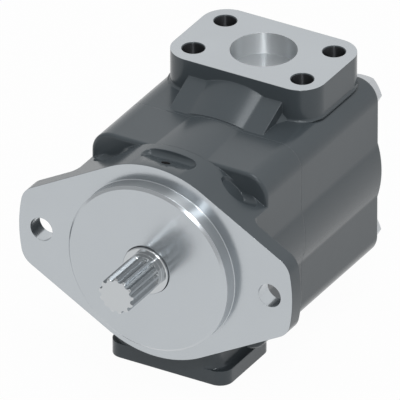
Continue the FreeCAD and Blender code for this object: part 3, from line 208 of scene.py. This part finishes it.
# %% Recipe for coated surfaces
def coated(name, dark, light, edge, roughness, bump, grain=900.0, lumps=60.0, radius=0.0005):
    """Paint, rubber or plastic: colours are linear red, green and blue."""
    material = bpy.data.materials.new(name)
    material.use_nodes = True
    tree = material.node_tree
    surface = tree.nodes["Principled BSDF"]
    place = add_node(tree, "ShaderNodeTexCoord")
    skin = add_node(tree, "ShaderNodeGroup", node_tree=cast_skin)
    tree.links.new(place.outputs["Object"], skin.inputs["Vector"])
    skin.inputs["Grain"].default_value = grain
    skin.inputs["Lumps"].default_value = lumps
    corners = add_node(tree, "ShaderNodeGroup", node_tree=soft_edges)
    corners.inputs["Radius"].default_value = radius
    tone = add_node(tree, "ShaderNodeMix", {
        0: skin.outputs["Tone"], 6: (*dark, 1), 7: (*light, 1)}, data_type="RGBA")
    # Every edge, hollow creases too, turns towards the edge colour.
    lighter_edges = add_node(tree, "ShaderNodeMix", {
        0: corners.outputs["Edge"], 6: tone.outputs[2], 7: (*edge, 1)}, data_type="RGBA")
    gloss = add_node(tree, "ShaderNodeMapRange", {
        "Value": skin.outputs["Height"], "To Min": roughness - 0.05, "To Max": roughness + 0.05})
    relief = add_node(tree, "ShaderNodeBump", {
        "Strength": bump, "Distance": 0.0003, "Height": skin.outputs["Height"],
        "Normal": corners.outputs["Normal"]})
    tree.links.new(lighter_edges.outputs[2], surface.inputs["Base Color"])
    tree.links.new(gloss.outputs[0], surface.inputs["Roughness"])
    tree.links.new(relief.outputs[0], surface.inputs["Normal"])
    return material


# %% Recipe for bare metal
def bare_metal(name, colour, roughness, bump=0.06, feed=400.0, turn=(math.pi / 2, 0, 0),
               centre=(0, 0, 0), radius=0.0003, spread=0.04, across=None):
    """Metal whose tool marks run round an axis: Y unless turn says otherwise.
    across is the direction in which its marks stretch what it mirrors."""
    material = bpy.data.materials.new(name)
    material.use_nodes = True
    tree = material.node_tree
    surface = tree.nodes["Principled BSDF"]
    surface.inputs["Metallic"].default_value = 1.0
    place = add_node(tree, "ShaderNodeTexCoord")
    laid = add_node(tree, "ShaderNodeMapping", {
        "Vector": place.outputs["Object"], "Location": centre, "Rotation": turn},
        vector_type="TEXTURE")
    marks = add_node(tree, "ShaderNodeGroup", node_tree=tool_marks)
    tree.links.new(laid.outputs[0], marks.inputs["Vector"])
    marks.inputs["Feed"].default_value = feed
    corners = add_node(tree, "ShaderNodeGroup", node_tree=soft_edges)
    corners.inputs["Radius"].default_value = radius
    darker = tuple(0.92 * part for part in colour)
    tone = add_node(tree, "ShaderNodeMix", {
        0: marks.outputs["Shine"], 6: (*darker, 1), 7: (*colour, 1)}, data_type="RGBA")
    gloss = add_node(tree, "ShaderNodeMapRange", {
        "Value": marks.outputs["Shine"], "From Min": 0.3, "From Max": 0.7,
        "To Min": roughness - spread, "To Max": roughness + spread})
    relief = add_node(tree, "ShaderNodeBump", {
        "Strength": bump, "Distance": 0.0001, "Height": marks.outputs["Height"],
        "Normal": corners.outputs["Normal"]})
    tree.links.new(tone.outputs[2], surface.inputs["Base Color"])
    tree.links.new(gloss.outputs[0], surface.inputs["Roughness"])
    tree.links.new(relief.outputs[0], surface.inputs["Normal"])
    if across:
        surface.inputs["Anisotropic"].default_value = 1.0
        stretch = add_node(tree, "ShaderNodeVectorTransform", {0: across},
                           vector_type="VECTOR", convert_from="OBJECT", convert_to="WORLD")
        tree.links.new(stretch.outputs[0], surface.inputs["Tangent"])
    return material


# %% The pump's own finishes
ALONG_SHAFT, UPRIGHT, UNTURNED = (0, 1, 0), (0, 0, 1), (0, 0, 0)
PORT_AXIS = (0, 120.65 * MM, 0)
BARE_IRON = (0.50, 0.53, 0.555)
finish = {
    "casting": coated("grey casting paint", (0.048, 0.058, 0.065), (0.054, 0.065, 0.073),
                      (0.09, 0.105, 0.118), 0.21, 0.015, radius=0.0008),
    "rough_iron": coated("bare cast iron", (0.10, 0.10, 0.105), (0.16, 0.16, 0.165),
                         (0.24, 0.24, 0.25), 0.55, 0.3),
    "faced_iron": bare_metal("turned iron face", BARE_IRON, 0.22, 0.02, 300.0),
    "turned_side": bare_metal("turned spigot wall", BARE_IRON, 0.3, 0.02, 900.0,
                              across=ALONG_SHAFT),
    "milled_iron": bare_metal("milled port face", BARE_IRON, 0.2, 0.02, 300.0, UNTURNED,
                              PORT_AXIS),
    # The bored port walls and the inlet's floor take a lighter iron than the faces: painted light
    # that lifts the shade inside the ports. The walls' streak itself comes from the lamps.
    "bored_wall": bare_metal("bored port wall", (0.66, 0.69, 0.71), 0.4, 0.02, 900.0, UNTURNED,
                             PORT_AXIS, across=UPRIGHT),
    "spot_faced": bare_metal("spot faced iron", (0.625, 0.648, 0.665), 0.5, 0.02, 300.0,
                             UNTURNED, PORT_AXIS),
    # The drain's near-black wall is painted shade: it stands in for the dark depth of the hole,
    # not the colour of drilled iron.
    "drilled": coated("drain hole painted shade", (0.006, 0.006, 0.007), (0.01, 0.01, 0.011),
                      (0.01, 0.01, 0.011), 0.7, 0.03, radius=0.0001),
    # The tapped holes' wall is far darker than cut iron: painted shade, standing in for the shade
    # inside the holes.
    "tapped_hole": bare_metal("tapped hole wall painted shade", (0.12, 0.126, 0.135), 0.36, 0.02, 900.0,
                              UNTURNED, across=UPRIGHT),
    "bolt_steel": bare_metal("zinc plated bolt", (0.52, 0.54, 0.56), 0.3, 0.05, 900.0),
    "shaft_steel": bare_metal("ground shaft steel", (0.54, 0.562, 0.578), 0.08, 0.01, 1200.0),
    "plated_steel": bare_metal("pressed plated sheet", (0.55, 0.54, 0.5), 0.3, 0.05, 600.0),
    "spring_steel": bare_metal("blued spring steel", (0.12, 0.13, 0.17), 0.3, 0.05, 900.0),
    "bearing_steel": bare_metal("polished bearing steel", (0.66, 0.67, 0.69), 0.08, 0.01, 1500.0),
    "cast_iron": bare_metal("machined cast iron", (0.30, 0.30, 0.31), 0.32, 0.12, 500.0),
    "bronze": bare_metal("lapped bronze", (0.60, 0.38, 0.17), 0.24, 0.05, 700.0),
    "hard_steel": bare_metal("ground hard steel", (0.48, 0.49, 0.5), 0.17, 0.04, 1400.0),
    "black_steel": bare_metal("black oxide steel", (0.05, 0.05, 0.055), 0.35, 0.05, 900.0),
    "rubber": coated("nitrile rubber", (0.012, 0.012, 0.013), (0.02, 0.02, 0.021),
                     (0.03, 0.03, 0.032), 0.6, 0.15, 1500.0),
    "ptfe": coated("white backup ring", (0.70, 0.70, 0.67), (0.78, 0.78, 0.75),
                   (0.82, 0.82, 0.8), 0.45, 0.05),
}
paint = finish["casting"].node_tree.nodes["Principled BSDF"]
paint.inputs["Specular IOR Level"].default_value = 0.4
paint.inputs["Specular Tint"].default_value = (0.92, 0.97, 1.0, 1)
print("finishes:", len(finish))

# %% [markdown]
# ## Finishes for the nodes that stay as they are
# Most of the inner pieces are right in shape already, so their own objects stay and only take
# a finish. The record says which material slot each node uses, and that name picks it.

# %% Give every node its finish
slot_of = {part["node"]: part["material_slot"] for part in frame["record"]["subparts"]}
for node, item in frame["nodes"].items():
    item.data.materials.clear()
    item.data.materials.append(finish[slot_of[node]])
print("nodes with a finish:", len(slot_of))

# %% [markdown]
# ## Welded copies of the turned and cast pieces
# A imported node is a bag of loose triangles, so every facet shows in a glossy finish. A copy
# whose corners are merged can be shaded smoothly, with its true edges kept sharp by their
# angle, and a Weighted Normal modifier then keeps the large flat faces flat. Each face may
# also choose its own finish, which is how a machined face ends exactly at its edge.

# %% Tools for new pieces
SHARP = math.radians(24)


def finish_piece(item, body, slot, *nodes):
    """Puts a piece on its body and hides the nodes it stands for. slot is not used."""
    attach(item, body)
    if nodes:
        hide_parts(*nodes)
    return item


def piece_from(mesh_in_hand, name, materials):
    """Object from a bmesh, with its finishes."""
    mesh = bpy.data.meshes.new(name)
    mesh_in_hand.to_mesh(mesh)
    mesh_in_hand.free()
    stored = mesh.attributes.get("custom_normal")
    if stored:
        mesh.attributes.remove(stored)
    for material in materials:
        mesh.materials.append(material)
    mesh.shade_smooth()
    mesh.set_sharp_from_angle(angle=SHARP)
    item = bpy.data.objects.new(name, mesh)
    bpy.context.scene.collection.objects.link(item)
    keeper = item.modifiers.new("flat faces stay flat", "WEIGHTED_NORMAL")
    keeper.keep_sharp = True
    keeper.weight = 100
    return item


def welded(node):
    """Bmesh of a node with its loose triangles merged."""
    work = bmesh.new()
    work.from_mesh(frame["nodes"][node].data)
    bmesh.ops.remove_doubles(work, verts=work.verts, dist=0.002 * MM)
    return work


def round_edges(work, where, radius, segments=3):
    """Rounds the edges whose two ends pass a test."""
    chosen = [edge for edge in work.edges if all(where(end.co) for end in edge.verts)]
    bmesh.ops.bevel(work, geom=chosen, offset=radius, segments=segments, profile=0.5,
                    affect="EDGES", material=-1)
    print("rounded edges:", len(chosen))


def smooth_copy(node, name, slot, keys, choose=None, rounds=()):
    """Welded copy of a node. choose(centre, normal) gives the number of a face's finish."""
    work = welded(node)
    for where, radius in rounds:
        round_edges(work, where, radius)
    if choose:
        for face in work.faces:
            face.material_index = choose(face.calc_center_median(), face.normal)
    item = piece_from(work, name, [finish[key] for key in keys])
    body = frame["nodes"][node]["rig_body"]
    print(name, "triangles:", len(item.data.polygons))
    finish_piece(item, body, slot, node)


# %% [markdown]
# ## The two castings
# The front casting is painted all over except where a tool has been: the mounting face, the
# spigot, the bolt holes, the outlet face and every bore. The cover is bare on its port face
# and in its port. The tests below name those places by their distance from an axis or plane,
# and HAIR is the slack that a test on a plane or a circle needs.

# %% Places on the castings
HAIR = 0.02 * MM
PORT_FACE, CASTINGS_MEET = 76.2 * MM, 64.8 * MM
SPIGOT, SPIGOT_ROOT, SHAFT_HOLE = 50.8 * MM, 0.6 * MM, 40 * MM
EAR_HOLE, EAR_HOLE_OUT, EAR_HOLE_END = 7.15 * MM, 73.025 * MM, 10.4 * MM
INLET, OUTLET = Vector(PORT_AXIS), Vector((0, 38.1 * MM, 0))
INLET_BORE, INLET_FLOOR = 19.06 * MM, 62.9 * MM
OUTLET_BORE, OUTLET_BORE_END = 12.71 * MM, -38 * MM
INLET_PITCH, INLET_TAP, INLET_TAP_END = (34.925 * MM, 17.855 * MM), 6.35 * MM, 45 * MM
OUTLET_PITCH, OUTLET_TAP, OUTLET_TAP_END = (26.185 * MM, 13.095 * MM), 4.76 * MM, -52 * MM
BODY_CHAMBER, COVER_CHAMBER, COVER_CHAMBER_END = 41.05 * MM, 54 * MM, 135 * MM
DRAIN_RADIUS, DRAIN_LOW, DRAIN_HIGH = 2.75 * MM, 14 * MM, 58.5 * MM
DRAIN = Vector((0, 11.9 * MM, 57.64 * MM))
DRAIN_AXIS = Vector((0, math.sin(math.radians(17.7)), math.cos(math.radians(17.7))))
print("ports along the shaft in mm:", round(INLET.y / MM, 2), round(OUTLET.y / MM, 2))


# %% Distances on the castings
def off_axis(point, centre):
    """Distance from an upright axis through a point."""
    return math.hypot(point.x - centre.x, point.y - centre.y)


def from_drain(point):
    """Distance from the slanted axis of the drain."""
    return (point - DRAIN).cross(DRAIN_AXIS).length


def in_tapped_hole(point, port, half_pitch, radius):
    """True for a point inside one of the four tapped holes round a port."""
    side, along = abs(point.x - port.x), abs(point.y - port.y)
    return math.hypot(side - half_pitch[0], along - half_pitch[1]) < radius + HAIR


# %% Which finish a face of the body takes
def body_face(centre, normal):
    """0 painted, 1 turned iron, 2 milled iron, 3 raw iron inside, 4 turned spigot wall,
    5 tapped hole darkened as painted shade, 6 bored port wall in lighter iron,
    7 drilled drain near black as painted shade."""
    from_shaft = math.hypot(centre.x, centre.z)
    if centre.y < HAIR:
        return 4 if abs(normal.y) < 0.3 and from_shaft > SHAFT_HOLE else 1
    from_ear_hole = math.hypot(abs(centre.x) - EAR_HOLE_OUT, centre.z)
    if abs(from_ear_hole - EAR_HOLE) < HAIR * 4 and centre.y < EAR_HOLE_END:
        return 1
    if centre.z < HAIR - PORT_FACE:
        return 2
    if centre.z < OUTLET_BORE_END and off_axis(centre, OUTLET) < OUTLET_BORE:
        return 6
    in_outlet_tap = in_tapped_hole(centre, OUTLET, OUTLET_PITCH, OUTLET_TAP)
    if in_outlet_tap and centre.z < OUTLET_TAP_END:
        return 5
    if from_drain(centre) < DRAIN_RADIUS + HAIR and DRAIN_LOW < centre.z < DRAIN_HIGH:
        return 7
    if from_shaft < BODY_CHAMBER:
        return 3
    if centre.y > CASTINGS_MEET - HAIR:
        return 1
    return 0


# %% Which finish a face of the cover takes
def cover_face(centre, normal):
    """0 painted, 1 milled iron, 2 raw iron inside, 3 bored port wall and 4 its floor, both in
    lighter iron as painted light, 5 tapped hole darkened as painted shade."""
    from_shaft = math.hypot(centre.x, centre.z)
    if centre.z > PORT_FACE - HAIR:
        return 1
    if off_axis(centre, INLET) < INLET_BORE and centre.z > INLET_FLOOR:
        return 4 if normal.z > 0.9 else 3
    in_inlet_tap = in_tapped_hole(centre, INLET, INLET_PITCH, INLET_TAP)
    if in_inlet_tap and centre.z > INLET_TAP_END:
        return 5
    if centre.y < CASTINGS_MEET + HAIR:
        return 1
    if from_shaft < COVER_CHAMBER and centre.y < COVER_CHAMBER_END:
        return 2
    return 0


def spigot_root(point):
    """True on the circle where the spigot meets the mounting face."""
    return abs(point.y) < HAIR and abs(math.hypot(point.x, point.z) - SPIGOT) < HAIR


# %% Build the castings
smooth_copy("pump_body", "front_casting", "casting",
            ["casting", "faced_iron", "milled_iron", "rough_iron", "turned_side",
             "tapped_hole", "bored_wall", "drilled"],
            body_face, [(spigot_root, SPIGOT_ROOT)])
smooth_copy("inlet_cover", "rear_cover", "casting",
            ["casting", "milled_iron", "rough_iron", "bored_wall", "spot_faced",
             "tapped_hole"], cover_face)

# %% Smooth copy of the shaft
smooth_copy("drive_shaft", "splined_shaft", "shaft_steel", ["shaft_steel"])

# %% [markdown]
# ## The cover bolts
# A bolt grows as one skin from its tip to the top of its head. Each step extrudes the last
# loop of edges and gives the new loop a reach, which may depend on the angle. A reach that
# turns with the height is a thread, and one that follows six flats is a head. The cone that
# chamfers a real head leaves a curved lower edge on every flat, and here the height of one
# loop depends on the angle in the same way.

# %% Loops that grow into a bolt
REAR = 152.4 * MM
HEAD, FLATS, WASHER = 8 * MM, 19 * MM, 0.5 * MM
SHANK, GRIP_END, GRIP = 5.9 * MM, 109.1 * MM, 21.5 * MM
PITCH, THREAD, TIP = 1.75 * MM, 0.95 * MM, 0.6 * MM
FACE = 9.1 * MM
SIDES, STEPS_A_TURN = 48, 5
CHAMFER_SLOPE = 0.577
print("thread turns on a bolt:", round((GRIP - 2 * TIP) / PITCH, 1))


def grow(work, edges, reach, height):
    """Extrudes a loop about Z and moves its copy to a reach and height for each angle."""
    made = bmesh.ops.extrude_edge_only(work, edges=edges)["geom"]
    for vert in (part for part in made if isinstance(part, bmesh.types.BMVert)):
        angle = math.atan2(vert.co.y, vert.co.x)
        far = reach(angle) if callable(reach) else reach
        level = height(angle) if callable(height) else height
        vert.co = Vector((far * math.cos(angle), far * math.sin(angle), level))
    return [part for part in made if isinstance(part, bmesh.types.BMEdge)]


def hexagon(angle):
    """Reach of the six flats."""
    return FLATS / 2 / math.cos(angle % (math.pi / 3) - math.pi / 6)


def thread(level):
    """Reach of the thread at a height, as a function of the angle."""
    def reach(angle):
        turn = (level / PITCH - angle / math.tau) % 1.0
        return SHANK - THREAD * abs(2 * turn - 1)
    return reach


# %% Cover bolts
def make_bolt(number, x, z):
    """One cover bolt, grown upwards and then laid along Y."""
    work = bmesh.new()
    bmesh.ops.create_circle(work, cap_ends=True, segments=SIDES, radius=SHANK - THREAD)
    bmesh.ops.translate(work, verts=work.verts, vec=(0, 0, -GRIP_END))
    edges = list(work.edges)
    levels = round((GRIP - 2 * TIP) / PITCH * STEPS_A_TURN)
    for step in range(levels):
        level = TIP - GRIP_END + step * PITCH / STEPS_A_TURN
        edges = grow(work, edges, thread(level), level)
    for reach, height in [(SHANK, GRIP - GRIP_END), (SHANK, 0.0), (FACE, 0.0), (FACE, WASHER),
                          (hexagon, WASHER),
                          (hexagon,
                           lambda angle: HEAD - (hexagon(angle) - FACE) * CHAMFER_SLOPE),
                          (FACE, HEAD)]:
        edges = grow(work, edges, reach, height)
    bmesh.ops.contextual_create(work, geom=edges)
    bmesh.ops.recalc_face_normals(work, faces=work.faces)
    bmesh.ops.rotate(work, verts=work.verts, cent=(0, 0, 0),
                     matrix=Matrix.Rotation(-math.pi / 2, 3, "X"))
    bmesh.ops.translate(work, verts=work.verts, vec=(x, REAR, z))
    node = f"cover_bolt_{number}"
    bolt = piece_from(work, f"threaded_bolt_{number}", [finish["bolt_steel"]])
    return finish_piece(bolt, frame["nodes"][node]["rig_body"], "bolt_steel", node)


for number in range(1, 5):
    low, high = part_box(f"cover_bolt_{number}")
    middle = (low + high) / 2
    bolt = make_bolt(number, middle.x, middle.z)
    print(bolt.name, "faces:", len(bolt.data.polygons))

# %% [markdown]
# ## The garter spring
# The seal's lip is pressed to the shaft by a spring wound from thin wire. One turn of the
# wire, a little tilted, is carried round the shaft in even steps until the turns touch.

# %% Wind the garter spring
low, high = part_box("garter_spring")
COIL = (high.y - low.y) / 2
SEAT = (high.x - low.x) / 2 - COIL
WIRE, WIRE_SIDES, COIL_STEPS = 0.14 * MM, 5, 9
INSET, TILT = 1.3 * WIRE, 0.12
TURNS = round(math.tau * SEAT / (2.6 * WIRE))
work = bmesh.new()
bmesh.ops.create_circle(work, cap_ends=False, segments=WIRE_SIDES, radius=WIRE)
bmesh.ops.rotate(work, verts=work.verts, cent=(0, 0, 0),
                 matrix=Matrix.Rotation(math.pi / 2, 3, "X"))
bmesh.ops.translate(work, verts=work.verts, vec=(COIL - INSET, 0, 0))
bmesh.ops.spin(work, geom=list(work.verts) + list(work.edges), cent=(0, 0, 0), axis=(0, 0, 1),
               angle=math.tau, steps=COIL_STEPS, use_merge=True)
bmesh.ops.rotate(work, verts=work.verts, cent=(0, 0, 0),
                 matrix=Matrix.Rotation(TILT, 3, "Y"))
bmesh.ops.translate(work, verts=work.verts, vec=(SEAT, (low.y + high.y) / 2, 0))
bmesh.ops.spin(work, geom=list(work.verts) + list(work.edges) + list(work.faces),
               cent=(0, 0, 0), axis=(0, 1, 0), angle=math.tau * (TURNS - 1) / TURNS,
               steps=TURNS - 1, use_duplicate=True)
bmesh.ops.recalc_face_normals(work, faces=work.faces)
spring = piece_from(work, "wound_spring", [finish["spring_steel"]])
finish_piece(spring, frame["nodes"]["garter_spring"]["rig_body"], "spring_steel", "garter_spring")
print("spring turns:", TURNS, "faces:", len(spring.data.polygons))

# %% [markdown]
# ## The studio
# The picture is almost a parallel view, so the lens is very long and the camera stands far
# back along its line of sight. The world is a white room, a little darker towards the camera
# where only reflections see it, so that round metal shades from light to dark. A soft lamp
# overhead lights the crown of the ramp, a second one in front draws the long highlights, and
# a small strong one beside it puts a spark on edges and fillets. The floor is pale and
# catches a faint shadow.

# %% Camera
AIM = Vector((12.91, 27.38, 29.88)) * MM
BACK = Vector((0.433013, -0.75, 0.5))
LENS = 1650.0
SENSOR = 36.0
FRAME_WIDTH = 221.6 * MM
camera_data = bpy.data.cameras.new("camera")
camera_data.lens = LENS
camera_data.sensor_width = SENSOR
camera_data.clip_end = 100.0
camera = bpy.data.objects.new("camera", camera_data)
camera.location = AIM + BACK * (FRAME_WIDTH * LENS / SENSOR)
camera.rotation_euler = (-BACK).to_track_quat("-Z", "Y").to_euler()
bpy.context.scene.collection.objects.link(camera)
bpy.context.scene.camera = camera
print("camera stands back", round(camera.location.length, 2), "m")

# %% World
ROOM_DARK, ROOM_LIGHT, ROOM_DIFFUSE = 0.5, 1.0, 0.75
ROOM_BACK, FADE_START, FADE_END = (0.35, 0.8, 0.0), -0.9, 0.6
world = bpy.data.worlds.new("white room")
bpy.context.scene.world = world
world.use_nodes = True
tree = world.node_tree
backdrop = tree.nodes["Background"]
direction = add_node(tree, "ShaderNodeTexCoord")
turned = add_node(tree, "ShaderNodeVectorMath", {
    0: direction.outputs["Generated"], 1: ROOM_BACK}, operation="DOT_PRODUCT")
falling = add_node(tree, "ShaderNodeMapRange", {
    "Value": turned.outputs["Value"], "From Min": FADE_START, "From Max": FADE_END,
    "To Min": ROOM_DARK, "To Max": ROOM_LIGHT}, interpolation_type="SMOOTHSTEP")
path = add_node(tree, "ShaderNodeLightPath")
plain = add_node(tree, "ShaderNodeMath", {
    0: path.outputs["Is Camera Ray"], 1: path.outputs["Is Transmission Ray"]},
    operation="MAXIMUM")
mirrored = add_node(tree, "ShaderNodeMix", {
    0: path.outputs["Is Glossy Ray"], 2: ROOM_DIFFUSE, 3: falling.outputs[0]})
strength = add_node(tree, "ShaderNodeMix", {
    0: plain.outputs[0], 2: mirrored.outputs[0], 3: 1.0})
tree.links.new(strength.outputs[0], backdrop.inputs["Strength"])
backdrop.inputs["Color"].default_value = (1, 1, 1, 1)
print("world:", world.name, "nodes:", len(tree.nodes))


# %% Lamps
def soft_lamp(name, towards, distance, size, radiance):
    """Square area lamp that faces the pump, set by how bright its face looks."""
    lamp = bpy.data.lights.new(name, "AREA")
    lamp.shape = "SQUARE"
    lamp.size = size
    lamp.energy = radiance * math.pi * size ** 2
    item = bpy.data.objects.new(name, lamp)
    item.location = AIM + Vector(towards).normalized() * distance
    item.rotation_euler = Vector(towards).to_track_quat("Z", "Y").to_euler()
    bpy.context.scene.collection.objects.link(item)
    print(name, "watts:", round(lamp.energy, 2))


soft_lamp("overhead lamp", (0.15, -0.07, 1.0), 1.2, 0.5, 4.8)
soft_lamp("front lamp", (0.38, -0.67, 0.64), 1.6, 0.34, 4.0)
soft_lamp("spark lamp", (0.42, -0.66, 0.74), 1.6, 0.1, 80.0)

# %% Floor
FLOOR_REACH, FLOOR_DROP = 3.0, 0.2 * MM
FLOOR_TONE, FLOOR_SHARE = 0.55, 0.97
floor_mesh = bmesh.new()
bmesh.ops.create_grid(floor_mesh, x_segments=8, y_segments=8, size=FLOOR_REACH)
bmesh.ops.translate(floor_mesh, verts=floor_mesh.verts,
                    vec=(0, 0, cad_box[0].z - FLOOR_DROP))
mesh = bpy.data.meshes.new("floor")
floor_mesh.to_mesh(mesh)
floor_mesh.free()
floor = bpy.data.objects.new("floor", mesh)
bpy.context.scene.collection.objects.link(floor)
pale = bpy.data.materials.new("pale floor")
pale.use_nodes = True
tree = pale.node_tree
surface = tree.nodes["Principled BSDF"]
surface.inputs["Base Color"].default_value = (FLOOR_TONE, FLOOR_TONE, FLOOR_TONE, 1)
surface.inputs["Roughness"].default_value = 0.8
path = add_node(tree, "ShaderNodeLightPath")
lit = add_node(tree, "ShaderNodeEmission", {"Strength": 1.0})
direct = add_node(tree, "ShaderNodeMath", {
    0: path.outputs["Is Camera Ray"], 1: path.outputs["Is Glossy Ray"]}, operation="MAXIMUM")
share = add_node(tree, "ShaderNodeMath", {0: direct.outputs[0], 1: FLOOR_SHARE},
                 operation="MULTIPLY")
both = add_node(tree, "ShaderNodeMixShader", {
    0: share.outputs[0], 1: surface.outputs[0], 2: lit.outputs[0]})
tree.links.new(both.outputs[0], tree.nodes["Material Output"].inputs["Surface"])
mesh.materials.append(pale)
print("floor faces:", len(mesh.polygons))

# %% View settings
bpy.context.scene.view_settings.view_transform = "Standard"
print("view transform:", bpy.context.scene.view_settings.view_transform)
